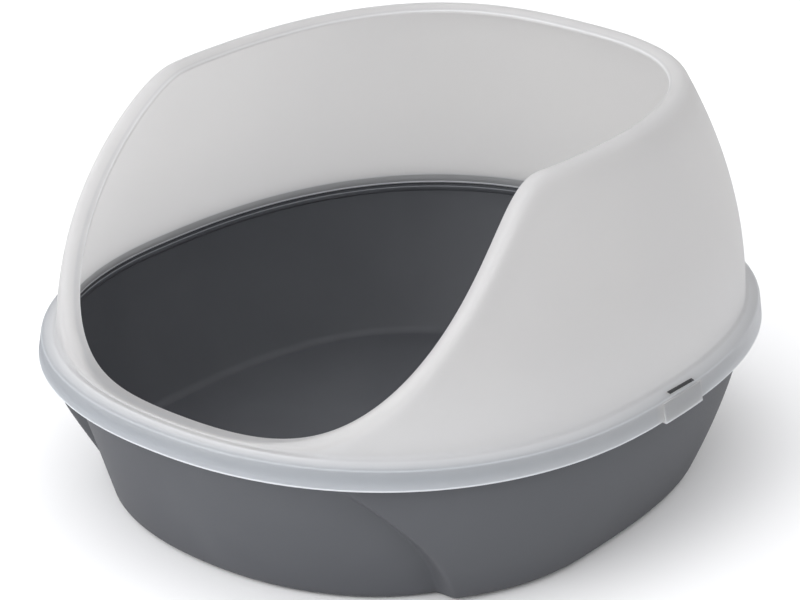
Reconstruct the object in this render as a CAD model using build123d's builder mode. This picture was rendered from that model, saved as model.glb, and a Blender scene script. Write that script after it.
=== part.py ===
import os
from math import cos, hypot, radians, sin

from build123d import *

os.makedirs("parts", exist_ok=True)

# A high-sided litter box in two mouldings: an open pan, and a hood that is set down over its rim.
# Millimetres. The origin is under the middle of the box, the front is -Y and up is +Z.

# Outline of the hood's skirt, the widest outline of the box
skirt_half_width = 200.0
skirt_station = -21.0  # where the outline is widest
skirt_front = 209.5  # from the widest station to the front
skirt_rear = 251.5
skirt_front_fullness = 2.19  # 2 is an ellipse, more is squarer
skirt_rear_fullness = 2.41

# Outline of the pan's foot
foot_half_width = 165.5
foot_station = -38.9
foot_front = 148.4
foot_rear = 215.4
foot_front_fullness = 2.15
foot_rear_fullness = 2.83

# Pan
pan_wall = 2.4
pan_floor = 2.4
foot_radius = 6.5
front_bulge = 2.0  # of the side wall: 1 is straight from the foot to the rim, more bulges out
rear_bulge = 1.5
bulge_fade = 80.0  # degrees from the panel's edge, over which the one turns into the other
panel_heading = 51.0  # where the front panel ends at the foot, in degrees from the front
panel_sweep = 24.1  # how far that edge swings towards the front as it rises
panel_depth = 9.5
panel_step_width = 5.0  # degrees taken by the step from the panel to the side wall
rim_lip = 2.0  # thickness of the rim's outer lip, which hangs down
rim_lip_rise = 1.4  # the lip ends this far above the skirt's bottom
rim_plate = 2.2
rim_wall = 1.9
rim_step = 0.5  # the rim stands proud of the wall by this much
rim_overlap = 1.0  # the rim reaches this far down over the wall's top
ledge_plate = 2.2
ledge_width = 2.0

# Hood
hood_wall = 2.2
flange_wall = 1.9  # of the inner flange that stands inside the pan
skirt_bottom = 91.6
skirt_height = 12.2
skirt_taper = 1.8
shoulder_inset = 11.0
shoulder_rise = 2.5
crown_height = 246.2  # of the corner that the fold rounds off
sill_rise = 1.2
wall_lean = 0.038
wall_dome = 0.00202  # the wall leans in by this much times its height squared, too
sill_end = 2.6  # headings between which the opening's edge climbs to the crown
crown_start = 81.8
climb_lag = 1.62  # 1 is an even climb, more holds it back near the sill
sill_lip_width = 12.2
crown_lip_width = 8.8
sill_lip_fall = 1.9  # the lip slopes down towards the opening by this much
crown_lip_fall = 6.0
edge_round = 7.0  # reach of the rounded fold between the wall and the lip
fold_share = 0.7  # of the wall's height, which the fold stays under
under_round = 0.5  # least reach of the fold's underside
locating_depth = 5.6  # the inner flange reaches this far down into the pan

# Snap tabs in the skirt's sides
tab_station = 6.5
tab_length = 40.0
tab_drop = 1.5  # below the skirt
tab_bulge = 1.3
tab_top_drop = 2.0  # below the shoulder
tab_stations = 5
bead_proud = 0.4
bead_height = 2.4
bead_chamfer = 0.7
slot_station = 8.9
slot_length = 25.4
slot_width = 2.4
slot_inset = 3.2

# Clearances
seat_gap = 0.3
rim_gap = 0.6
flange_gap = 0.4
tab_gap = 0.35
ledge_gap = 2.5  # under the flange

shoulder_bottom = skirt_bottom + skirt_height
wall_base = shoulder_bottom + shoulder_rise
shoulder_slope = shoulder_rise / (shoulder_inset - skirt_taper)
rim_inner = shoulder_inset + hood_wall - flange_wall - flange_gap
pan_wall_inset = rim_inner - rim_wall + rim_step  # of the wall's top, from the skirt's outline
ledge_height = wall_base - locating_depth - ledge_gap
pan_wall_top = ledge_height - ledge_plate
rim_lip_bottom = skirt_bottom + rim_lip_rise
tab_top = shoulder_bottom - tab_top_drop

# Stations along the curves
section_step = 5.0
foot_levels = 6
wall_levels = 5
panel_stations = 5
step_stations = 6
side_stations = 20
wall_stations = 6


def rounded_plan(heading, half_width, station, front, rear, front_fullness, rear_fullness):
    # The point of a rounded outline where its outward normal has this heading from the front
    across = half_width * abs(sin(radians(heading)))
    forward = cos(radians(heading))
    length, fullness = (front, front_fullness) if forward > 0 else (rear, rear_fullness)
    along = length * abs(forward)
    dual = fullness / (fullness - 1)
    size = (across**dual + along**dual) ** (1 / fullness)
    x = half_width * across ** (dual - 1) / size
    y = length * along ** (dual - 1) / size
    side = 1 if sin(radians(heading)) > 0 else -1
    return side * x, station - y if forward > 0 else station + y


def skirt_point(heading, inset=0.0):
    x, y = rounded_plan(
        heading,
        skirt_half_width,
        skirt_station,
        skirt_front,
        skirt_rear,
        skirt_front_fullness,
        skirt_rear_fullness,
    )
    return x - inset * sin(radians(heading)), y + inset * cos(radians(heading))


def foot_point(heading):
    return rounded_plan(
        heading,
        foot_half_width,
        foot_station,
        foot_front,
        foot_rear,
        foot_front_fullness,
        foot_rear_fullness,
    )


def skirt_x(y):
    # Half width of the skirt's outline at a station
    length, fullness = (
        (skirt_front, skirt_front_fullness)
        if y < skirt_station
        else (skirt_rear, skirt_rear_fullness)
    )
    return skirt_half_width * (1 - (abs(y - skirt_station) / length) ** fullness) ** (1 / fullness)


def smooth_step(value):
    held = min(max(value, 0.0), 1.0)
    return held * held * (3 - 2 * held)


def panel_edge(z):
    return panel_heading - panel_sweep * (z / pan_wall_top) ** 2


def panel_share(heading, z):
    # 1 on the front panel, 0 on the side wall
    return smooth_step((panel_edge(z) + panel_step_width / 2 - heading) / panel_step_width)


def panel_recess(heading, z):
    # The front panel is set in, most at its edges and at the foot, and meets the rim flush
    depth = panel_depth * (1 - (z / pan_wall_top) ** 2)
    return depth * panel_share(heading, z) * min(heading / panel_edge(z), 1) ** 2


def wall_share(heading, z):
    # How far the wall has gone from the foot's outline to the rim's
    share = z / pan_wall_top
    rearward = smooth_step((heading - panel_heading) / bulge_fade)
    bulge = front_bulge + (rear_bulge - front_bulge) * rearward
    bulged = 1 - max(1 - share, 0) ** bulge
    return bulged + (share - bulged) * panel_share(heading, z)


def pan_headings(z):
    # From the front to the back, with the same stations along every level
    start = panel_edge(z) - panel_step_width / 2
    end = panel_edge(z) + panel_step_width / 2
    panel = [start * share / panel_stations for share in range(panel_stations)]
    step = [start + (end - start) * share / step_stations for share in range(step_stations)]
    side = [end + (180 - end) * share / side_stations for share in range(side_stations + 1)]
    return panel + step + side


def pan_level(z, inset):
    # One level outline of the pan's wall, from the front right round
    right = []
    for heading in pan_headings(z):
        share = wall_share(heading, z)
        foot_x, foot_y = foot_point(heading)
        top_x, top_y = skirt_point(heading, pan_wall_inset)
        depth = inset + panel_recess(heading, z)
        x = foot_x + (top_x - foot_x) * share - depth * sin(radians(heading))
        y = foot_y + (top_y - foot_y) * share + depth * cos(radians(heading))
        right.append((x, y))
    left = [(-x, y) for x, y in right[1:-1]]
    return right + left[::-1]


def level_spline(z, inset):
    # Every level is run at the same pace, so that the levels match along the wall
    paced = pan_level(pan_wall_top, 0)
    pace = [0.0]
    for (x, y), (last_x, last_y) in zip(paced[1:] + paced[:1], paced):
        pace.append(pace[-1] + hypot(x - last_x, y - last_y))
    return Edge.make_spline(pan_level(z, inset), periodic=True, parameters=pace)


def pan_levels(floor, wall, top):
    # Heights and insets of a solid of the pan's shape: a rounded foot, then the wall
    radius = foot_radius - wall
    levels = []
    for step in range(foot_levels):
        turn = radians(90 * step / (foot_levels - 1))
        levels.append((floor + radius * (1 - cos(turn)), wall + radius * (1 - sin(turn))))
    start = levels[-1][0]
    for step in range(1, wall_levels + 1):
        levels.append((start + (top - start) * step / wall_levels, wall))
    return levels


def pan_block(floor, wall, top):
    with BuildPart() as block:
        for height, inset in pan_levels(floor, wall, top):
            with BuildSketch(Plane.XY.offset(height)):
                with BuildLine():
                    add(level_spline(height, inset))
                make_face()
        loft()
    return block.part


def taper_at(z):
    return skirt_taper * (z - skirt_bottom) / skirt_height


def shoulder_under(inset):
    # Height of the shoulder's underside
    drop = hood_wall * hypot(1, shoulder_slope)
    return shoulder_bottom + (inset - skirt_taper) * shoulder_slope - drop


def wall_inset(z):
    rise = max(z - wall_base, 0)
    return shoulder_inset + wall_lean * rise + wall_dome * rise**2


def edge_share(heading):
    # The opening's edge: low across the front, then climbing to a level crown
    share = max(heading - sill_end, 0) / (crown_start - sill_end)
    return smooth_step(share**climb_lag)


def edge_height(heading):
    sill = wall_base + sill_rise
    return sill + (crown_height - sill) * edge_share(heading)


def edge_point(heading):
    z = edge_height(heading)
    x, y = skirt_point(heading, wall_inset(z))
    return x, y, z


def lip_drop(heading):
    # Height of the lip's section: its thickness is square to the climbing edge
    before = edge_point(max(heading - 1, 0))
    after = edge_point(min(heading + 1, 180))
    run = hypot(after[0] - before[0], after[1] - before[1])
    return hood_wall * hypot(1, (after[2] - before[2]) / run)


def wall_line(top, bottom, thickness):
    # The domed wall's line in a section, from one height to the other
    heights = [top + (bottom - top) * share / wall_stations for share in range(wall_stations + 1)]
    return [(wall_inset(z) + thickness, z) for z in heights]


def hood_section(heading):
    edge = edge_height(heading)
    share = edge_share(heading)
    corner = wall_inset(edge)
    width = sill_lip_width + (crown_lip_width - sill_lip_width) * share
    fall = sill_lip_fall + (crown_lip_fall - sill_lip_fall) * share
    slope = fall / width
    drop = lip_drop(heading)
    lip_end = corner + width
    fold = min(edge_round, fold_share * (edge - wall_base))
    fold_end = corner + fold, edge - slope * fold
    under_corner = corner + hood_wall, edge - drop - slope * hood_wall
    under_reach = max(fold, hood_wall + under_round)
    under_end = corner + under_reach, edge - drop - slope * under_reach
    under_fold = min(edge - fold, under_corner[1] - under_round)
    outer = wall_line(wall_base, edge - fold, 0)
    inner = wall_line(under_fold, wall_base - locating_depth, hood_wall)
    flange_outer = inner[-1][0] - flange_wall
    skirt_inner = skirt_taper + hood_wall
    Polyline((0, skirt_bottom), (skirt_taper, shoulder_bottom), outer[0])
    Spline(*outer)
    Bezier(outer[-1], (corner, edge), fold_end)
    Polyline(fold_end, (lip_end, edge - fall), (lip_end, edge - fall - drop), under_end)
    Bezier(under_end, under_corner, inner[0])
    Spline(*inner)
    Polyline(
        inner[-1],
        (flange_outer, inner[-1][1]),
        (flange_outer, shoulder_under(flange_outer)),
        (skirt_inner, shoulder_under(skirt_inner)),
        (hood_wall, skirt_bottom),
        (0, skirt_bottom),
    )


def rim_section(heading):
    outer = hood_wall + rim_gap
    bottom_inset = outer + taper_at(rim_lip_bottom)
    top_inset = outer + skirt_taper
    top = shoulder_under(top_inset) - seat_gap
    wall_outer = pan_wall_inset - rim_step
    foot = pan_wall_top - rim_overlap
    Polyline(
        (bottom_inset, rim_lip_bottom),
        (top_inset, top),
        (rim_inner, shoulder_under(rim_inner) - seat_gap),
        (rim_inner, ledge_height),
        (rim_inner + ledge_width, ledge_height),
        (rim_inner + ledge_width, foot),
        (wall_outer, foot),
        (wall_outer, top - rim_plate),
        (top_inset + rim_lip, top - rim_plate),
        (bottom_inset + rim_lip, rim_lip_bottom),
        (bottom_inset, rim_lip_bottom),
    )


def section_plane(heading):
    # Upright and square to the skirt: x is the inset from its outline, y is the height
    turn = radians(heading)
    across = (-sin(turn), cos(turn), 0)
    return Plane(origin=(*skirt_point(heading), 0), x_dir=across, z_dir=(cos(turn), sin(turn), 0))


def ring_of(section):
    # A loft through upright sections from the front round to the back, and its mirror image
    count = round(180 / section_step)
    with BuildPart() as ring:
        for index in range(count + 1):
            heading = 180 * index / count
            with BuildSketch(section_plane(heading)):
                with BuildLine():
                    section(heading)
                make_face()
        loft()
        mirror(about=Plane.YZ)
    return ring.part


def tab_section():
    # Like the skirt, but proud of it, with a bead inside that snaps under the pan's rim
    bottom = skirt_bottom - tab_drop
    bead_inset = hood_wall + bead_proud
    above_bead = bottom + bead_height + bead_chamfer
    Polyline(
        (-tab_bulge, bottom),
        (taper_at(tab_top) - tab_bulge / 2, tab_top),
        (taper_at(tab_top) + hood_wall, tab_top),
        (taper_at(above_bead) + hood_wall, above_bead),
        (bead_inset, bottom + bead_height),
        (bead_inset, bottom + bead_chamfer),
        (bead_inset - bead_chamfer, bottom),
        (-tab_bulge, bottom),
    )


def tab_plane(y, side):
    # The skirt's outline crosses this plane's origin, and x points into the box
    origin = (side * skirt_x(y), y, 0)
    return Plane(origin=origin, x_dir=(-side, 0, 0), z_dir=(0, side, 0))


pan_hollow = pan_block(pan_floor, pan_wall, pan_wall_top + rim_overlap)
pan_rim = ring_of(rim_section)
hood_ring = ring_of(hood_section)

# Pan: a rounded foot, a wall with a set-in front panel, and a rim that the hood grips
with BuildPart() as pan:
    add(pan_block(0, 0, pan_wall_top))
    add(pan_hollow, mode=Mode.SUBTRACT)
    add(pan_rim)
pan.part.label = "pan"
export_step(pan.part, "parts/pan.step")

# Hood: a skirt, a shoulder, an inner flange, a domed wall and a turned-in lip round the opening
tab_room = tab_top + tab_gap - skirt_bottom + tab_drop
tab_depth = skirt_taper + hood_wall + tab_gap
with BuildPart() as hood:
    add(hood_ring)
    for side in (1, -1):
        slot_x = side * (skirt_x(slot_station) - slot_inset - slot_width / 2)
        with Locations((slot_x, slot_station, shoulder_bottom)):
            Box(slot_width, slot_length, 2 * hood_wall, mode=Mode.SUBTRACT)
        room_x = side * (skirt_x(tab_station + tab_length / 2) - tab_depth)
        room = (room_x, tab_station, skirt_bottom - tab_drop)
        with Locations(room):
            Box(
                2 * tab_depth + tab_bulge,
                tab_length + 2 * tab_gap,
                tab_room,
                align=(Align.MIN if side > 0 else Align.MAX, Align.CENTER, Align.MIN),
                mode=Mode.SUBTRACT,
            )
hood.part.label = "hood"
export_step(hood.part, "parts/hood.step")

# Snap tabs: a thumb bends one outwards to free the hood
for name, side in (("right_snap_tab", 1), ("left_snap_tab", -1)):
    with BuildPart() as snap_tab:
        for station in range(tab_stations):
            y = tab_station + tab_length * (station / (tab_stations - 1) - 0.5)
            with BuildSketch(tab_plane(y, side)):
                with BuildLine():
                    tab_section()
                make_face()
        loft()
    snap_tab.part.label = name
    export_step(snap_tab.part, f"parts/{name}.step")
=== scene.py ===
from math import cos, hypot, radians, sin

import bmesh
import bpy
from mathutils import Matrix, Vector


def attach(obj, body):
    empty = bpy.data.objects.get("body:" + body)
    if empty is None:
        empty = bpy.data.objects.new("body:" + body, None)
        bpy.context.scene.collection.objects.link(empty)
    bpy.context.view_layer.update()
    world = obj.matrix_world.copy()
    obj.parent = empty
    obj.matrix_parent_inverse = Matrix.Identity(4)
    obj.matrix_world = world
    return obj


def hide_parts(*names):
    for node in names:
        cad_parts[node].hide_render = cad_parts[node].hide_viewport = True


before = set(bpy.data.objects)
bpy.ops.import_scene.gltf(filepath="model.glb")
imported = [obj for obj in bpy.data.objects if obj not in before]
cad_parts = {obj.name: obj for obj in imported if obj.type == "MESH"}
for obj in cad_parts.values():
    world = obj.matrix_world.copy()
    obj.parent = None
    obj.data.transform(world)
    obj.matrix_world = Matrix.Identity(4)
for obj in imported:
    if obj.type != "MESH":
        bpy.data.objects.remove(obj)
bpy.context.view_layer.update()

mm = 0.001  # pieces are worked out in millimetres and placed in metres
print("litter box: the frame is in")


# Camera, at the angle of the photograph
camera = {
    "azimuth": 38.45,  # degrees round from the front, towards the right side
    "elevation": 23.59,
    "distance": 1.7755,
    "aim": (-0.0038, -0.0029, 0.1067),
    "roll": 0.674,
    "lens": 129.94,
}


def makeCamera(c):
    turn, lift, roll = radians(c["azimuth"]), radians(c["elevation"]), radians(c["roll"])
    back = Vector((sin(turn) * cos(lift), -cos(turn) * cos(lift), sin(lift)))
    across = Vector((0, 0, 1)).cross(back).normalized()
    up = back.cross(across)
    right = across * cos(roll) + up * sin(roll)
    top = up * cos(roll) - across * sin(roll)
    placed = Matrix((right, top, back)).transposed().to_4x4()
    placed.translation = Vector(c["aim"]) + back * c["distance"]
    lensData = bpy.data.cameras.new("photoView")
    lensData.lens = c["lens"]
    lensData.sensor_width = 36
    view = bpy.data.objects.new("photoView", lensData)
    view.matrix_world = placed
    bpy.context.scene.collection.objects.link(view)
    bpy.context.scene.camera = view


makeCamera(camera)


# Sizes that more than one piece shares, in millimetres and degrees
shape = {
    "outline": {  # of the skirt, seen from above
        "halfWidth": 200.0,
        "station": -21.0,  # where it is widest
        "front": 209.5,
        "rear": 251.5,
        "frontFullness": 2.19,
        "rearFullness": 2.41,
    },
    "skirtBottom": 91.6,
    "skirtHeight": 12.2,
    "skirtTaper": 1.8,
    "shoulderInset": 11.0,
    "shoulderRise": 2.5,
    "hoodWall": 2.2,
    "flangeWall": 1.9,
    "locatingDepth": 5.6,
    "flangeTop": 103.0,  # where the shoulder's underside begins
}
shoulderBottom = shape["skirtBottom"] + shape["skirtHeight"]
wallBase = shoulderBottom + shape["shoulderRise"]
shoulderSlope = shape["shoulderRise"] / (shape["shoulderInset"] - shape["skirtTaper"])
shoulderCorner = (shape["skirtTaper"], shoulderBottom)  # inset and height
wallFoot = (shape["shoulderInset"], wallBase)
sharpAngle = 38  # degrees, past which an edge is shaded crisp


def outlinePoint(outline, heading):
    # Where the outline faces this way: 0 is the front, 90 the right side
    across = outline["halfWidth"] * abs(sin(radians(heading)))
    forward = cos(radians(heading))
    end = "front" if forward > 0 else "rear"
    length, fullness = outline[end], outline[end + "Fullness"]
    along = length * abs(forward)
    dual = fullness / (fullness - 1)
    size = (across**dual + along**dual) ** (1 / fullness)
    x = outline["halfWidth"] * across ** (dual - 1) / size
    y = length * along ** (dual - 1) / size
    onRight = sin(radians(heading)) > 0
    return (x if onRight else -x), outline["station"] + (-y if forward > 0 else y)


def skirtPoint(heading, inset):
    x, y = outlinePoint(shape["outline"], heading)
    return x - inset * sin(radians(heading)), y + inset * cos(radians(heading))


def skirtHalfWidth(y):
    outline = shape["outline"]
    end = "front" if y < outline["station"] else "rear"
    fullness = outline[end + "Fullness"]
    share = (abs(y - outline["station"]) / outline[end]) ** fullness
    return outline["halfWidth"] * (1 - share) ** (1 / fullness)


def smoothStep(value):
    held = min(max(value, 0.0), 1.0)
    return held * held * (3 - 2 * held)


def taperAt(z):
    return shape["skirtTaper"] * (z - shape["skirtBottom"]) / shape["skirtHeight"]


def shoulderUnder(inset):
    drop = shape["hoodWall"] * hypot(1, shoulderSlope)
    return shoulderBottom + (inset - shape["skirtTaper"]) * shoulderSlope - drop


def bend(start, corner, end, steps, paintedLight=0.0):
    # Points of a rounded corner: inset, height and the painted light there, a painted highlight
    # above 0 and painted shade below, strongest at the middle of the corner
    points = []
    for step in range(steps + 1):
        t = step / steps
        a, b, c = (1 - t) ** 2, 2 * t * (1 - t), t * t
        x = a * start[0] + b * corner[0] + c * end[0]
        z = a * start[1] + b * corner[1] + c * end[1]
        points.append((x, z, paintedLight * 2 * b))
    return points


def towards(start, end, reach):
    share = min(reach / hypot(end[0] - start[0], end[1] - start[1]), 0.48)
    return start[0] + (end[0] - start[0]) * share, start[1] + (end[1] - start[1]) * share


def roundedLine(corners, closed=False):
    # Each corner is (inset, height, radius, steps, painted light), and with no steps it stays
    # sharp
    points = []
    count = len(corners)
    for i, (x, z, radius, steps, paintedLight) in enumerate(corners):
        atEnd = not closed and i in (0, count - 1)
        if steps == 0 or atEnd:
            points.append((x, z, paintedLight))
            continue
        start = towards((x, z), corners[i - 1], radius)
        end = towards((x, z), corners[(i + 1) % count], radius)
        points += bend(start, (x, z), end, steps, paintedLight)
    return points


def sheetPiece(name, columns, rows, place):
    # A grid that is bent round the box: u runs round it, v along its section
    bm = bmesh.new()
    bmesh.ops.create_grid(bm, x_segments=columns, y_segments=rows, size=1.0, calc_uvs=True)
    uvs = bm.loops.layers.uv.verify()
    paintedLightLayer = bm.verts.layers.float.new("paintedLight")
    paintedRimShadeLayer = bm.verts.layers.float.new("paintedRimShade")
    for face in bm.faces:
        for loop in face.loops:
            u, v = (loop.vert.co.x + 1) / 2, (loop.vert.co.y + 1) / 2
            loop[uvs].uv = (u, v)
    for vert in bm.verts:
        column = round((vert.co.x + 1) / 2 * columns)
        row = round((vert.co.y + 1) / 2 * rows)
        x, y, z, paintedLight, paintedRimShade = place(column, row)
        # Painted light: a painted highlight where above 0, painted shade where below
        vert[paintedLightLayer] = paintedLight
        vert[paintedRimShadeLayer] = paintedRimShade  # painted shade of the pan's dark rim: 1 where the rim stands close behind
        vert.co = (x * mm, y * mm, z * mm)
    bmesh.ops.remove_doubles(bm, verts=bm.verts, dist=1e-6)
    bmesh.ops.dissolve_degenerate(bm, dist=1e-7, edges=bm.edges)
    bmesh.ops.recalc_face_normals(bm, faces=bm.faces)
    return finishedObject(name, bm)


def finishedObject(name, bm):
    for face in bm.faces:
        face.smooth = True
    mesh = bpy.data.meshes.new(name)
    bm.to_mesh(mesh)
    bm.free()
    mesh.set_sharp_from_angle(angle=radians(sharpAngle))
    piece = bpy.data.objects.new(name, mesh)
    bpy.context.scene.collection.objects.link(piece)
    return piece


# Pan
pan = {
    "foot": {  # its outline at the foot
        "halfWidth": 165.5,
        "station": -38.9,
        "front": 148.4,
        "rear": 215.4,
        "frontFullness": 2.15,
        "rearFullness": 2.83,
    },
    "wall": 2.4,
    "floor": 2.4,
    "footRadius": 6.5,
    "wallTop": 96.0,
    "wallInset": 9.5,  # of the wall's top, from the skirt's outline
    "frontBulge": 2.0,  # how fully the side wall bows out, 1 being straight
    "rearBulge": 1.5,
    "bulgeFade": 80.0,
    "panelHeading": 51.0,  # where the front panel ends at the foot
    "panelSweep": 24.1,  # and how much nearer to the front it ends at the rim
    "panelDepth": 9.5,
    "panelStep": 5.0,
    "rimLip": 2.0,
    "rimLipBottom": 93.0,
    "rimPlate": 2.2,
    "rimStep": 0.5,
    "ledgeHeight": 98.2,
    "ledgeWidth": 2.0,
    "rimGap": 0.6,  # to the hood: at the skirt, under the shoulder and at the flange
    "seatGap": 0.3,
    "flangeGap": 0.4,
    "belowRim": 1.4,  # the plain wall ends this far below its top, outside and inside
    "belowLedge": 1.6,
    "panelColumns": 44,  # of the mesh: half the panel, its step, and one side to the back
    "stepColumns": 18,
    "sideColumns": 120,
    "wallRows": 26,
    "cornerRows": 9,
    "floorRings": (1.0, 0.6, 0.25),  # from the middle of the floor out towards its edge
    "floorMiddle": -8.9,
}


def panelEdge(z):
    return pan["panelHeading"] - pan["panelSweep"] * (z / pan["wallTop"]) ** 2


def panelShare(heading, z):
    # 1 on the front panel, 0 on the side wall
    return smoothStep((panelEdge(z) + pan["panelStep"] / 2 - heading) / pan["panelStep"])


def panelRecess(heading, z):
    # The front panel is set in, most at its edges and at the foot, and meets the rim flush
    depth = pan["panelDepth"] * (1 - (z / pan["wallTop"]) ** 2)
    return depth * panelShare(heading, z) * min(heading / panelEdge(z), 1) ** 2


def wallShare(heading, z):
    # How far the wall has gone from the foot's outline to the rim's
    share = z / pan["wallTop"]
    rearward = smoothStep((heading - pan["panelHeading"]) / pan["bulgeFade"])
    bulge = pan["frontBulge"] + (pan["rearBulge"] - pan["frontBulge"]) * rearward
    bulged = 1 - max(1 - share, 0) ** bulge
    return bulged + (share - bulged) * panelShare(heading, z)


def panHeading(column, z):
    # The columns follow the panel's edge up the wall
    half = pan["panelColumns"] + pan["stepColumns"] + pan["sideColumns"]
    mirrored = column > half
    column = 2 * half - column if mirrored else column
    start = panelEdge(z) - pan["panelStep"] / 2
    end = start + pan["panelStep"]
    if column <= pan["panelColumns"]:
        heading = start * column / pan["panelColumns"]
    elif column <= pan["panelColumns"] + pan["stepColumns"]:
        heading = start + (end - start) * (column - pan["panelColumns"]) / pan["stepColumns"]
    else:
        past = column - pan["panelColumns"] - pan["stepColumns"]
        heading = end + (180 - end) * past / pan["sideColumns"]
    return 360 - heading if mirrored else heading


def panWallPoint(column, z, inset):
    z = min(z, pan["wallTop"])
    heading = panHeading(column, z)
    half = min(heading, 360 - heading)
    share = wallShare(half, z)
    footX, footY = outlinePoint(pan["foot"], heading)
    topX, topY = skirtPoint(heading, pan["wallInset"])
    depth = inset + panelRecess(half, z)
    x = footX + (topX - footX) * share - depth * sin(radians(heading))
    y = footY + (topY - footY) * share + depth * cos(radians(heading))
    return x, y


def panRimLine():
    outer = shape["hoodWall"] + pan["rimGap"]
    lipShare = (pan["rimLipBottom"] - shape["skirtBottom"]) / shape["skirtHeight"]
    bottomInset = outer + shape["skirtTaper"] * lipShare
    topInset = outer + shape["skirtTaper"]
    top = shoulderUnder(topInset) - pan["seatGap"]
    inner = shape["shoulderInset"] + shape["hoodWall"] - shape["flangeWall"] - pan["flangeGap"]
    wallOuter = pan["wallInset"] - pan["rimStep"]
    under = top - pan["rimPlate"]
    # The last number of each corner is painted light: painted highlights along the rim's
    # rounded edges
    corners = [
        (wallOuter, pan["wallTop"] - 1.2, 0, 0, 0),
        (wallOuter, under, 1.0, 4, 0),
        (topInset + pan["rimLip"], under, 0.8, 4, 0),
        (bottomInset + pan["rimLip"], pan["rimLipBottom"], 0.5, 4, 0.5),
        (bottomInset, pan["rimLipBottom"], 0.6, 4, 0.5),
        (topInset, top, 1.0, 5, 0.4),
        (inner, shoulderUnder(inner) - pan["seatGap"], 0.7, 5, 0.6),
        (inner, pan["ledgeHeight"], 0.5, 3, 0),
        (inner + pan["ledgeWidth"], pan["ledgeHeight"], 0.7, 5, 1.0),
        (inner + pan["ledgeWidth"], pan["wallTop"] - 0.4, 0, 0, 0),
    ]
    return roundedLine(corners)


def makePan():
    # Rows run from the middle of the underside, up outside, over the rim and down to the floor
    rows = [("flat", 0.0, share, 0) for share in pan["floorRings"]]
    steps = pan["cornerRows"]
    radius = pan["footRadius"]
    for step in range(steps + 1):
        turn = radians(90 * step / steps)
        rows.append(("wall", radius * (1 - cos(turn)), radius * (1 - sin(turn)), 0))
    top = pan["wallTop"] - pan["belowRim"]
    for step in range(1, pan["wallRows"] + 1):
        rows.append(("wall", radius + (top - radius) * step / pan["wallRows"], 0.0, 0))
    rows += [("rim", z, inset, paintedLight) for inset, z, paintedLight in panRimLine()]
    radius -= pan["wall"]
    base = pan["floor"] + radius
    top = pan["wallTop"] - pan["belowLedge"]
    for step in range(pan["wallRows"] + 1):
        rows.append(("wall", top + (base - top) * step / pan["wallRows"], pan["wall"], 0))
    for step in range(1, steps + 1):
        turn = radians(90 * step / steps)
        inset = pan["wall"] + radius * (1 - cos(turn))
        rows.append(("wall", base - radius * sin(turn), inset, 0))
    rows += [("flat", pan["floor"], share, 0) for share in reversed(pan["floorRings"])]
    columns = 2 * (pan["panelColumns"] + pan["stepColumns"] + pan["sideColumns"])

    def place(column, row):
        kind, z, inset, paintedLight = rows[row]
        if kind == "rim":
            x, y = skirtPoint(panHeading(column, pan["wallTop"]), inset)
        elif kind == "wall":
            x, y = panWallPoint(column, z, inset)
        else:
            x, y = panWallPoint(column, z, pan["footRadius"])
            x -= x * inset
            y += (pan["floorMiddle"] - y) * inset
        return x, y, z, paintedLight, 0.0

    return sheetPiece("panMoulding", columns, len(rows) - 1, place)


panPiece = makePan()
print("litter box: pan modelled,", len(panPiece.data.polygons), "faces")


# Hood
hood = {
    "crown": 246.2,  # of the corner that the fold rounds off
    "sillRise": 1.2,
    "wallLean": 0.038,
    "wallDome": 0.00202,
    "sillEnd": 2.6,  # headings between which the edge climbs
    "crownStart": 81.8,
    "climbLag": 1.62,  # above 1, the climb starts more slowly
    "sillLipWidth": 12.2,
    "crownLipWidth": 8.8,
    "sillLipFall": 1.9,
    "crownLipFall": 6.0,
    "edgeRound": 7.0,  # of the fold between the wall and the lip
    "foldShare": 0.7,  # of the wall's height, which the fold stays under
    "underRound": 0.5,
    "columns": 540,
    "wallRows": 26,
    "cornerRound": 1.1,  # of the skirt's top corner
    "baseRound": 1.8,  # of the crease where the wall meets the shoulder
    "slotStation": 8.9,
    "slotLength": 25.4,
    "slotWidth": 2.4,
    "slotInset": 3.2,
    "slotCut": 5,  # above and below the shoulder
}
paintedLightAt = {  # painted light on the hood: painted highlights at its folds and edges, painted shade where below 0
    "rearSkirt": 0.5,  # painted light on the rear skirt, beyond the headings that follow
    "rearStart": 90,
    "rearSpan": 30,
    "skirtCorner": 0.3,
    "shoulderOuter": 0.12,
    "shoulderGain": 0.43,
    "crease": 0.32,
    "wallFoot": 0.22,
    "innerFoot": -0.13,
    "footReach": 60,  # mm up the wall
    "wallFold": -0.06,
    "lip": -0.3,
    "lipEdge": 0.5,
    "lipUnder": 0.3,
}
paintedRimShadeByHeading = {  # painted shade standing for the pan's dark rim behind the skirt, by heading
    "front": 0.68,
    "sideLoss": 0.2,
    "sideStart": 40,
    "sideSpan": 60,
    "rearLoss": 0.28,
    "rearStart": 92,
    "rearSpan": 40,
    "edgeInset": 1.8,  # it fades over the shoulder from here
    "shoulderFade": 7,
    "flangeFade": 1.6,  # and over this height above the flange
}


def wallInset(z):
    rise = max(z - wallBase, 0)
    return shape["shoulderInset"] + hood["wallLean"] * rise + hood["wallDome"] * rise**2


def edgeShare(heading):
    # Low across the front, then climbing to a level crown
    heading = min(heading, 360 - heading)
    share = max(heading - hood["sillEnd"], 0) / (hood["crownStart"] - hood["sillEnd"])
    return smoothStep(share ** hood["climbLag"])


def edgeHeight(heading):
    sill = wallBase + hood["sillRise"]
    return sill + (hood["crown"] - sill) * edgeShare(heading)


def edgePoint(heading):
    z = edgeHeight(heading % 360)
    x, y = skirtPoint(heading, wallInset(z))
    return x, y, z


def lipDrop(heading):
    before, after = edgePoint(heading - 0.5), edgePoint(heading + 0.5)
    run = hypot(after[0] - before[0], after[1] - before[1])
    return shape["hoodWall"] * hypot(1, (after[2] - before[2]) / run)


def wallRows(top, bottom, thickness):
    count = hood["wallRows"]
    heights = [top + (bottom - top) * row / count for row in range(count + 1)]
    return [(wallInset(z) + thickness, z) for z in heights]


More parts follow.
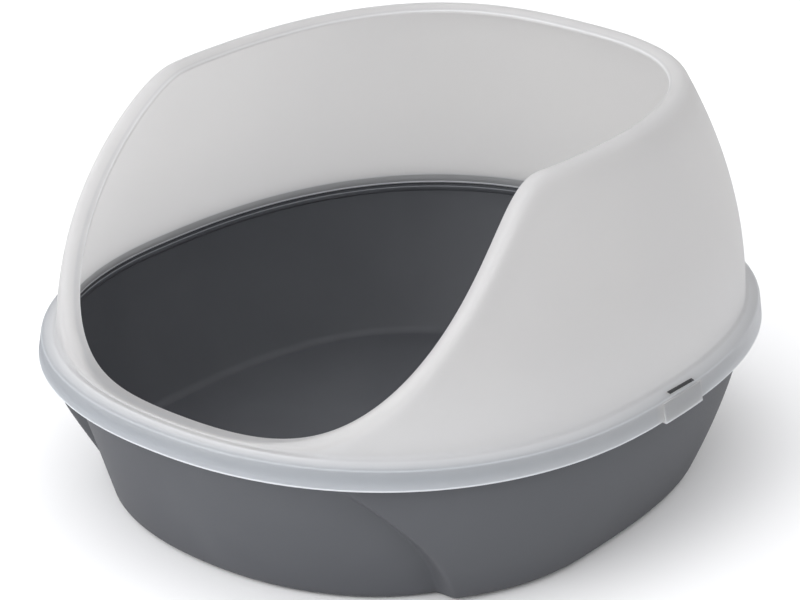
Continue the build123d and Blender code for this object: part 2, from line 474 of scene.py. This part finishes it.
def skirtLine(heading):
    # From the skirt's bottom edge, with a painted highlight, up its outside and round its top
    # corner, with painted light on the corner and on the rear skirt
    bottom, wall, reach = shape["skirtBottom"], shape["hoodWall"], hood["cornerRound"]
    rear = (min(heading, 360 - heading) - paintedLightAt["rearStart"]) / paintedLightAt["rearSpan"]
    # Painted light that makes the rear of the skirt paler
    clear = paintedLightAt["rearSkirt"] * smoothStep(rear)
    line = roundedLine([
        (wall, bottom + 0.6, 0, 0, 1.0),
        (wall, bottom, 0.35, 3, 1.0),
        (0, bottom, 0.45, 4, 1.0),
        (taperAt(bottom + 1), bottom + 1, 0, 0, 0),
    ])[1:-1]
    line.append((taperAt(bottom + 0.75), bottom + 0.75, 1.0))
    line.append((taperAt(bottom + 1.1), bottom + 1.1, clear))
    start = towards(shoulderCorner, (0, bottom), reach)
    end = towards(shoulderCorner, wallFoot, reach)
    corner = bend(start, shoulderCorner, end, 6, paintedLightAt["skirtCorner"])
    return line + [(x, z, max(paintedLight, clear)) for x, z, paintedLight in corner]


def paintedFootLight(z, paintedAmount):
    # Painted light near the wall's foot, fading up the wall; a negative amount paints shade
    # instead
    return paintedAmount * max(1 - (z - wallBase) / paintedLightAt["footReach"], 0)


def outerWallLine(foldBottom):
    # In over the shoulder, with painted light growing towards the wall, then round the crease
    # with painted light, and up the wall, painted lighter near its foot
    line = []
    reach = hood["baseRound"]
    creaseStart = towards(wallFoot, shoulderCorner, reach)
    outer = shoulderCorner[0] + hood["cornerRound"]
    for step in range(1, 7):
        t = step / 7
        x = outer + (creaseStart[0] - outer) * t
        z = shoulderBottom + (x - shoulderCorner[0]) * shoulderSlope
        line.append((x, z, paintedLightAt["shoulderOuter"] + paintedLightAt["shoulderGain"] * t))
    rise = min(reach, (foldBottom - wallBase) / 2)
    creaseEnd = wallInset(wallBase + rise), wallBase + rise
    paintedCreaseLight = paintedLightAt["crease"] * rise / reach
    line += [(x, z, paintedCreaseLight) for x, z, _ in bend(creaseStart, wallFoot, creaseEnd, 6)]
    for x, z in wallRows(creaseEnd[1], foldBottom, 0.0)[1:-1]:
        line.append((x, z, paintedFootLight(z, paintedLightAt["wallFoot"])))
    return line


def innerWallLine(top):
    # Down the inside of the wall and round the locating flange, to the skirt's inside
    wall, bottom = shape["hoodWall"], shape["skirtBottom"]
    inner = shape["shoulderInset"] + wall
    flangeBottom = wallBase - shape["locatingDepth"]
    flangeOuter = inner - shape["flangeWall"]
    skirtInner = shape["skirtTaper"] + wall
    foot = min(wallBase, top)
    band = min(paintedRimShadeByHeading["flangeFade"], (top - foot) / 2)
    line = []
    # Painted shade on the inside near the foot
    for x, z in wallRows(top, foot + band, wall)[1:]:
        line.append((x, z, paintedFootLight(z, paintedLightAt["innerFoot"])))
    line.append((inner, foot, 0.0))
    # Painted highlights along the flange's bottom edge and the skirt's inner bottom edge
    return line + roundedLine([
        (inner, foot - 0.5, 0, 0, 0),
        (inner, flangeBottom + 1.3, 0, 0, 0),
        (inner, flangeBottom + 1.0, 0, 0, 1.0),
        (inner, flangeBottom, 0.4, 4, 1.0),
        (flangeOuter, flangeBottom, 0.5, 4, 0.5),
        (flangeOuter, shoulderUnder(flangeOuter), 0.4, 3, 0),
        (skirtInner, shoulderUnder(skirtInner), 0.8, 4, 0),
        (wall, bottom + 0.6, 0, 0, 1.0),
    ])


def hoodSection(heading):
    # All the way round the moulding's section, with the lip where the wall turns in
    edge, share, drop = edgeHeight(heading), edgeShare(heading), lipDrop(heading)
    wall = shape["hoodWall"]
    width = hood["sillLipWidth"] + (hood["crownLipWidth"] - hood["sillLipWidth"]) * share
    fall = hood["sillLipFall"] + (hood["crownLipFall"] - hood["sillLipFall"]) * share
    slope = fall / width
    corner = wallInset(edge)
    reach = min(hood["edgeRound"], hood["foldShare"] * (edge - wallBase))
    foldStart = wallInset(edge - reach), edge - reach
    foldEnd = corner + reach, edge - slope * reach
    along = 0.7 * reach + 0.3 * width  # where the painted shade on the lip is deepest
    lipEnd = corner + width
    underCorner = corner + wall, edge - drop - slope * wall
    underReach = max(reach, wall + hood["underRound"])
    underEnd = corner + underReach, edge - drop - slope * underReach
    underFold = min(edge - reach, underCorner[1] - hood["underRound"])
    line = skirtLine(heading) + outerWallLine(edge - reach)
    # Painted shade along the fold from the wall to the lip
    line += bend(foldStart, (corner, edge), foldEnd, 12, paintedLightAt["wallFold"])
    # Painted shade across the lip, and painted highlights round its edge and underneath
    line += roundedLine([
        (*foldEnd, 0, 0, 0),
        (corner + along, edge - slope * along, 0, 0, paintedLightAt["lip"]),
        (lipEnd, edge - fall, 0.7, 6, paintedLightAt["lipEdge"]),
        (lipEnd, edge - fall - drop, 0.8, 5, paintedLightAt["lipUnder"]),
        (*underEnd, 0, 0, 0),
    ])[1:-1]
    line += bend(underEnd, underCorner, (wallInset(underFold) + wall, underFold), 8)
    return line + innerWallLine(underFold)


def paintedRimShadeAt(heading, inset, z):
    # Painted shade for the dark rim behind the skirt, most at the front, and behind the flange
    innerFace = shape["shoulderInset"] + shape["hoodWall"]
    if inset > innerFace + 0.5:
        return 0.0
    onWall = inset > wallInset(z) + 0.7 * shape["hoodWall"]
    onFlange = z < shape["flangeTop"] and inset > innerFace - 4
    if onWall or onFlange:
        return 1 - smoothStep((z - wallBase) / paintedRimShadeByHeading["flangeFade"])
    half = min(heading, 360 - heading)
    side = smoothStep((half - paintedRimShadeByHeading["sideStart"]) / paintedRimShadeByHeading["sideSpan"])
    rear = smoothStep((half - paintedRimShadeByHeading["rearStart"]) / paintedRimShadeByHeading["rearSpan"])
    strength = paintedRimShadeByHeading["front"] - paintedRimShadeByHeading["sideLoss"] * side - paintedRimShadeByHeading["rearLoss"] * rear
    return strength * (1 - smoothStep((inset - paintedRimShadeByHeading["edgeInset"]) / paintedRimShadeByHeading["shoulderFade"]))


def makeHood():
    columns = hood["columns"]
    sections = [hoodSection(360 * column / columns) for column in range(columns)]
    sections.append(sections[0])
    rows = len(sections[0])

    def place(column, row):
        inset, z, paintedLight = sections[column][row % rows]
        x, y = skirtPoint(360 * column / columns, inset)
        return x, y, z, paintedLight, paintedRimShadeAt(360 * column / columns, inset, z)

    return sheetPiece("hoodMoulding", columns, rows, place)


hoodPiece = makeHood()
print("litter box: hood modelled,", len(hoodPiece.data.polygons), "faces")


# Snap tabs, and the rooms and slots that are cut for them
tab = {
    "station": 6.5,
    "length": 40.0,
    "drop": 1.5,  # below the skirt
    "bulge": 1.3,
    "topDrop": 2.0,  # below the shoulder
    "beadProud": 0.4,
    "beadHeight": 2.4,
    "beadChamfer": 0.7,
    "gap": 0.15,
    "edge": 0.35,  # of the bevel round its ends
    "stations": 20,
    "paintedRimShade": 0.34,  # how much painted shade of the rim it carries
}


def boxObject(name, low, high):
    bm = bmesh.new()
    bmesh.ops.create_cube(bm, size=1.0)
    size = [(b - a) * mm for a, b in zip(low, high)]
    middle = [(a + b) / 2 * mm for a, b in zip(low, high)]
    bmesh.ops.scale(bm, vec=size, verts=bm.verts)
    bmesh.ops.translate(bm, vec=middle, verts=bm.verts)
    return finishedObject(name, bm)


def cutOut(piece, cutters):
    # Takes the cutters out of a piece and throws them away
    for cutter in cutters:
        cut = piece.modifiers.new("cut", "BOOLEAN")
        cut.operation = "DIFFERENCE"
        cut.solver = "EXACT"
        cut.object = cutter
    whole = bpy.context.evaluated_depsgraph_get()
    whole.update()
    mesh = bpy.data.meshes.new_from_object(piece.evaluated_get(whole))
    piece.modifiers.clear()
    piece.data = mesh
    for cutter in cutters:
        bpy.data.objects.remove(cutter)
    mesh.set_sharp_from_angle(angle=radians(sharpAngle))


def cutTabRooms(piece):
    # A room for each tab in the skirt, and the slot above it in the shoulder
    cutters = []
    half = tab["length"] / 2 + tab["gap"]
    bottom = shape["skirtBottom"] - tab["drop"]
    top = shoulderBottom - tab["topDrop"] + tab["gap"]
    for side in (1, -1):
        slotOuter = skirtHalfWidth(hood["slotStation"]) - hood["slotInset"]
        slotEnds = sorted((side * slotOuter, side * (slotOuter - hood["slotWidth"])))
        reach = hood["slotLength"] / 2
        cutters.append(boxObject(
            "slotCutter",
            (slotEnds[0], hood["slotStation"] - reach, shoulderBottom - hood["slotCut"]),
            (slotEnds[1], hood["slotStation"] + reach, shoulderBottom + hood["slotCut"]),
        ))
        edge = skirtHalfWidth(tab["station"] + tab["length"] / 2)
        depth = shape["skirtTaper"] + shape["hoodWall"] + tab["gap"]
        ends = sorted((side * (edge - depth), side * (edge + depth)))
        cutters.append(boxObject(
            "roomCutter",
            (ends[0], tab["station"] - half, bottom - 1),
            (ends[1], tab["station"] + half, top),
        ))
    cutOut(piece, cutters)


def shadeSlots(piece):
    # The slots' cut walls stay dark
    shade = piece.data.attributes.new("shade", "FLOAT", "FACE")
    inner = skirtHalfWidth(hood["slotStation"]) - hood["slotInset"] - hood["slotWidth"] - 0.1
    for face in piece.data.polygons:
        x, y, z = (abs(value) / mm for value in face.center)
        beside = inner < x < inner + hood["slotWidth"] + 0.2
        along = abs(y - hood["slotStation"]) < hood["slotLength"] / 2 + 0.1
        if beside and along and abs(face.normal.z) < 0.5 and z > shoulderBottom - 3:
            shade.data[face.index].value = 1.0


def tabSection():
    bottom = shape["skirtBottom"] - tab["drop"]
    top = shoulderBottom - tab["topDrop"]
    bead = shape["hoodWall"] + tab["beadProud"]
    above = bottom + tab["beadHeight"] + tab["beadChamfer"]
    # The last number of each corner is painted light: painted highlights along the bottom edge
    # and the bead's chamfer
    corners = [
        (-tab["bulge"], bottom, 0.45, 4, 1.0),
        (-tab["bulge"] + 0.1, bottom + 0.9, 0, 0, 0.8),
        (-tab["bulge"] + 0.15, bottom + 1.3, 0, 0, 0),
        (taperAt(top) - 0.05, top, 0.25, 3, 0),
        (taperAt(top) + shape["hoodWall"], top, 0.3, 2, 0),
        (taperAt(above) + shape["hoodWall"], above, 0.4, 3, 0),
        (bead, bottom + tab["beadHeight"], 0.4, 3, 0),
        (bead, bottom + tab["beadChamfer"], 0.4, 3, 0.5),
        (bead - tab["beadChamfer"], bottom, 0.3, 3, 0.5),
    ]
    return roundedLine(corners, closed=True)


def makeTab(name, side):
    section = tabSection()
    rows, columns = len(section), tab["stations"]

    def place(column, row):
        inset, z, paintedLight = section[row % rows]
        y = tab["station"] + tab["length"] * (column / columns - 0.5)
        return side * (skirtHalfWidth(y) - inset), y, z, paintedLight, tab["paintedRimShade"]

    piece = sheetPiece(name, columns, rows, place)
    bm = bmesh.new()
    bm.from_mesh(piece.data)
    ends = [edge for edge in bm.edges if edge.is_boundary]
    bmesh.ops.holes_fill(bm, edges=ends, sides=0)
    rim = [edge for edge in ends if edge.is_valid]
    bmesh.ops.bevel(
        bm, geom=rim, offset=tab["edge"] * mm, offset_type="OFFSET", affect="EDGES",
        segments=3, profile=0.5, material=-1, clamp_overlap=True,
    )
    bmesh.ops.recalc_face_normals(bm, faces=bm.faces)
    for face in bm.faces:
        face.smooth = True
    bm.to_mesh(piece.data)
    bm.free()
    piece.data.set_sharp_from_angle(angle=radians(sharpAngle))
    return piece


cutTabRooms(hoodPiece)
shadeSlots(hoodPiece)
rightTab = makeTab("rightSnapTab", 1)
leftTab = makeTab("leftSnapTab", -1)
print("litter box: snap tabs modelled")


# Shader helpers
def addNode(tree, kind, **values):
    node = tree.nodes.new(kind)
    for key, value in values.items():
        if key in node.inputs:
            node.inputs[key].default_value = value
        else:
            setattr(node, key, value)
    return node


def mixColour(tree, factor, first, second):
    mixer = addNode(tree, "ShaderNodeMix", data_type="RGBA")
    given = (mixer.inputs[0], factor), (mixer.inputs[6], first), (mixer.inputs[7], second)
    for socket, value in given:
        if isinstance(value, bpy.types.NodeSocket):
            tree.links.new(value, socket)
        else:
            socket.default_value = (*value, 1.0)
    return mixer.outputs[2]


def rangeOf(tree, value, low, high, fromLow=0.0, fromHigh=1.0):
    node = addNode(tree, "ShaderNodeMapRange")
    ends = {"From Min": fromLow, "From Max": fromHigh, "To Min": low, "To Max": high}
    for key, number in ends.items():
        node.inputs[key].default_value = number
    tree.links.new(value, node.inputs["Value"])
    return node.outputs["Result"]


def newMaterial(name):
    material = bpy.data.materials.new(name)
    material.use_nodes = True
    material.node_tree.nodes.clear()
    return material, material.node_tree


def makeGrainGroup():
    # The fine sparked grain of a moulded part, with slow changes in how it shines and is tinted
    group = bpy.data.node_groups.new("mouldedGrain", "ShaderNodeTree")
    socket = group.interface.new_socket
    socket(name="Place", in_out="INPUT", socket_type="NodeSocketVector")
    socket(name="Grain Size", in_out="INPUT", socket_type="NodeSocketFloat")
    socket(name="Flow Size", in_out="INPUT", socket_type="NodeSocketFloat")
    socket(name="Height", in_out="OUTPUT", socket_type="NodeSocketFloat")
    socket(name="Shine", in_out="OUTPUT", socket_type="NodeSocketFloat")
    socket(name="Flow", in_out="OUTPUT", socket_type="NodeSocketFloat")
    given = addNode(group, "NodeGroupInput")
    out = addNode(group, "NodeGroupOutput")
    grain = addNode(group, "ShaderNodeTexNoise", Detail=3.0, Roughness=0.62)
    pores = addNode(group, "ShaderNodeTexVoronoi", feature="SMOOTH_F1")
    flow = addNode(group, "ShaderNodeTexNoise", Detail=2.0, Roughness=0.5, Distortion=0.6)
    link = group.links.new
    link(given.outputs["Place"], grain.inputs["Vector"])
    link(given.outputs["Place"], pores.inputs["Vector"])
    link(given.outputs["Place"], flow.inputs["Vector"])
    link(given.outputs["Grain Size"], grain.inputs["Scale"])
    link(given.outputs["Grain Size"], pores.inputs["Scale"])
    link(given.outputs["Flow Size"], flow.inputs["Scale"])
    height = addNode(group, "ShaderNodeMath", operation="MULTIPLY_ADD")
    height.inputs[1].default_value = 0.5
    link(pores.outputs["Distance"], height.inputs[0])
    link(grain.outputs["Fac"], height.inputs[2])
    link(height.outputs[0], out.inputs["Height"])
    link(rangeOf(group, grain.outputs["Fac"], 0.0, 1.0, 0.3, 0.7), out.inputs["Shine"])
    link(rangeOf(group, flow.outputs["Fac"], 0.0, 1.0, 0.35, 0.65), out.inputs["Flow"])
    return group


grainGroup = makeGrainGroup()


panPlastic = {
    "deep": (0.0645, 0.067, 0.075),
    "pale": (0.0725, 0.0755, 0.0835),
    # Painted highlight on the rim's rounded edges
    "edge": (0.30, 0.315, 0.34),
    "gloss": 0.35,
    "roughness": (0.55, 0.66),
    "grain": 2600.0,  # per metre
    "flow": 9.0,
    "bump": 0.00005,
    "bumpStrength": 0.55,
}
hoodPlastic = {
    "cloud": (0.525, 0.52, 0.52),  # the light that the sheet throws back
    "cloudPale": (0.55, 0.545, 0.54),
    # Painted shade of the dark rim behind the skirt
    "paintedRimShade": (0.14, 0.18, 0.225),
    # Painted shade on the flange that stands inside the rim
    "flange": (0.2, 0.205, 0.215),
    # Painted highlight at the folds and edges
    "edge": (0.86, 0.88, 0.91),
    "shade": (0.15, 0.152, 0.158),
    "glow": (0.97, 0.965, 0.96),  # the light that comes through it
    "through": 0.6,
    "edgeThrough": 0.3,
    "flangeThrough": 0.47,  # a share of the light, where the rim is close behind
    "paintedRimShadeFrom": 0.7,  # more painted rim shade than this is the flange's painted shade
    "gloss": 0.3,
    "roughness": (0.42, 0.54),
    "grain": 1900.0,
    "flow": 7.0,
    "bump": 0.00003,
    "bumpStrength": 0.5,
}


def grainOf(tree, c):
    place = addNode(tree, "ShaderNodeTexCoord")
    grain = addNode(tree, "ShaderNodeGroup", node_tree=grainGroup)
    grain.inputs["Grain Size"].default_value = c["grain"]
    grain.inputs["Flow Size"].default_value = c["flow"]
    tree.links.new(place.outputs["Object"], grain.inputs["Place"])
    return grain


def skinOf(tree, c, grain, colour):
    # The surface that both plastics share, with its bump
    bump = addNode(tree, "ShaderNodeBump", Strength=c["bumpStrength"], Distance=c["bump"])
    tree.links.new(grain.outputs["Height"], bump.inputs["Height"])
    skin = addNode(tree, "ShaderNodeBsdfPrincipled", IOR=1.49)
    skin.inputs["Specular IOR Level"].default_value = c["gloss"]
    tree.links.new(colour, skin.inputs["Base Color"])
    roughness = rangeOf(tree, grain.outputs["Shine"], *c["roughness"])
    tree.links.new(roughness, skin.inputs["Roughness"])
    tree.links.new(bump.outputs["Normal"], skin.inputs["Normal"])
    return skin, bump


def makePanMaterial(c):
    material, tree = newMaterial("satinPanPlastic")
    link = tree.links.new
    grain = grainOf(tree, c)
    paintedLight = addNode(tree, "ShaderNodeAttribute", attribute_name="paintedLight")
    # Painted highlight on the rim's edges
    edge = rangeOf(tree, paintedLight.outputs["Fac"], 0.0, 0.6)
    body = mixColour(tree, grain.outputs["Flow"], c["deep"], c["pale"])
    colour = mixColour(tree, edge, body, c["edge"])
    skin, _ = skinOf(tree, c, grain, colour)
    out = addNode(tree, "ShaderNodeOutputMaterial")
    link(skin.outputs[0], out.inputs["Surface"])
    return material


def makeHoodMaterial(c):
    material, tree = newMaterial("frostedHoodPlastic")
    link = tree.links.new
    grain = grainOf(tree, c)
    paintedLight = addNode(tree, "ShaderNodeAttribute", attribute_name="paintedLight")
    # Painted highlight where the painted light is above 0
    edge = rangeOf(tree, paintedLight.outputs["Fac"], 0.0, 1.0)
    paintedRimShade = addNode(tree, "ShaderNodeAttribute", attribute_name="paintedRimShade")
    cloud = mixColour(tree, grain.outputs["Flow"], c["cloud"], c["cloudPale"])
    # Painted shade where the painted light is below 0, then painted rim shade over it
    paintedShadeMask = rangeOf(tree, paintedLight.outputs["Fac"], 1.0, 0.0, -1.0, 0.0)
    withPaintedShade = mixColour(tree, paintedShadeMask, cloud, c["paintedRimShade"])
    withRimShade = mixColour(tree, paintedRimShade.outputs["Fac"], withPaintedShade, c["paintedRimShade"])
    # Painted shade on the flange
    onFlange = rangeOf(tree, paintedRimShade.outputs["Fac"], 0.0, 1.0, c["paintedRimShadeFrom"])
    body = mixColour(tree, onFlange, withRimShade, c["flange"])
    # Painted highlight laid over the body colour
    lit = mixColour(tree, edge, body, c["edge"])
    shade = addNode(tree, "ShaderNodeAttribute", attribute_name="shade")
    colour = mixColour(tree, shade.outputs["Fac"], lit, c["shade"])
    skin, bump = skinOf(tree, c, grain, colour)
    glow = addNode(tree, "ShaderNodeBsdfTranslucent")
    link(mixColour(tree, shade.outputs["Fac"], c["glow"], c["shade"]), glow.inputs["Color"])
    link(bump.outputs["Normal"], glow.inputs["Normal"])
    sheet = addNode(tree, "ShaderNodeMixShader")
    passing = addNode(tree, "ShaderNodeMath", operation="MULTIPLY")
    blocked = rangeOf(tree, paintedRimShade.outputs["Fac"], 1.0, c["flangeThrough"], c["paintedRimShadeFrom"])
    link(rangeOf(tree, paintedLight.outputs["Fac"], c["through"], c["edgeThrough"]), passing.inputs[0])
    link(blocked, passing.inputs[1])
    link(passing.outputs[0], sheet.inputs[0])
    link(skin.outputs[0], sheet.inputs[1])
    link(glow.outputs[0], sheet.inputs[2])
    out = addNode(tree, "ShaderNodeOutputMaterial")
    link(sheet.outputs[0], out.inputs["Surface"])
    return material


panMaterial = makePanMaterial(panPlastic)
hoodMaterial = makeHoodMaterial(hoodPlastic)


def settle(piece, body, node, material):
    piece.data.materials.clear()
    piece.data.materials.append(material)
    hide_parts(node)
    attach(piece, body)
    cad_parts[node].data.materials.clear()
    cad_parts[node].data.materials.append(material)


settle(panPiece, "pan", "pan", panMaterial)
settle(hoodPiece, "hood", "hood", hoodMaterial)
settle(rightTab, "right_tab", "right_snap_tab", hoodMaterial)
settle(leftTab, "left_tab", "left_snap_tab", hoodMaterial)
print("litter box: materials on")


# Studio: a soft room, cool and bright towards the front left, and a plain pale floor
studio = {
    "floor": (0.84, 0.84, 0.84),
    "floorSize": 12.0,
    "bright": (1.76, 1.77, 1.81),
    "dim": (0.5, 0.49, 0.475),
    "brightSide": (-0.08, -0.64, 0.76),
    "dimBeyond": -0.5,  # the cosine from that side where it is dimmest
    "lampPlace": (-0.45, -2.6, 1.6),
    "lampSize": 2.0,
    "lampPower": 34.0,
}


def makeStudio(c):
    world = bpy.data.worlds.new("softRoom")
    world.use_nodes = True
    tree = world.node_tree
    looking = addNode(tree, "ShaderNodeTexCoord")
    facing = addNode(tree, "ShaderNodeVectorMath", operation="DOT_PRODUCT")
    facing.inputs[1].default_value = Vector(c["brightSide"]).normalized()
    tree.links.new(looking.outputs["Generated"], facing.inputs[0])
    share = addNode(tree, "ShaderNodeMapRange", interpolation_type="SMOOTHSTEP")
    share.inputs["From Min"].default_value = c["dimBeyond"]
    tree.links.new(facing.outputs["Value"], share.inputs["Value"])
    colour = mixColour(tree, share.outputs["Result"], c["dim"], c["bright"])
    tree.links.new(colour, tree.nodes["Background"].inputs["Color"])
    bpy.context.scene.world = world
    lamp = bpy.data.lights.new("softLamp", "AREA")
    lamp.shape = "DISK"
    lamp.size = c["lampSize"]
    lamp.energy = c["lampPower"]
    light = bpy.data.objects.new("softLamp", lamp)
    light.location = c["lampPlace"]
    aim = Vector((0, 0, 0.1)) - Vector(c["lampPlace"])
    light.rotation_euler = aim.to_track_quat("-Z", "Y").to_euler()
    bpy.context.scene.collection.objects.link(light)
    bm = bmesh.new()
    bmesh.ops.create_grid(bm, x_segments=1, y_segments=1, size=c["floorSize"])
    floor = finishedObject("paleFloor", bm)
    material, tree = newMaterial("paleFloor")
    matt = addNode(tree, "ShaderNodeBsdfPrincipled", Roughness=0.9)
    matt.inputs["Base Color"].default_value = (*c["floor"], 1.0)
    matt.inputs["Specular IOR Level"].default_value = 0.1
    out = addNode(tree, "ShaderNodeOutputMaterial")
    tree.links.new(matt.outputs[0], out.inputs["Surface"])
    floor.data.materials.append(material)


makeStudio(studio)
bpy.context.scene.view_settings.view_transform = "Standard"
print("litter box: studio lit")
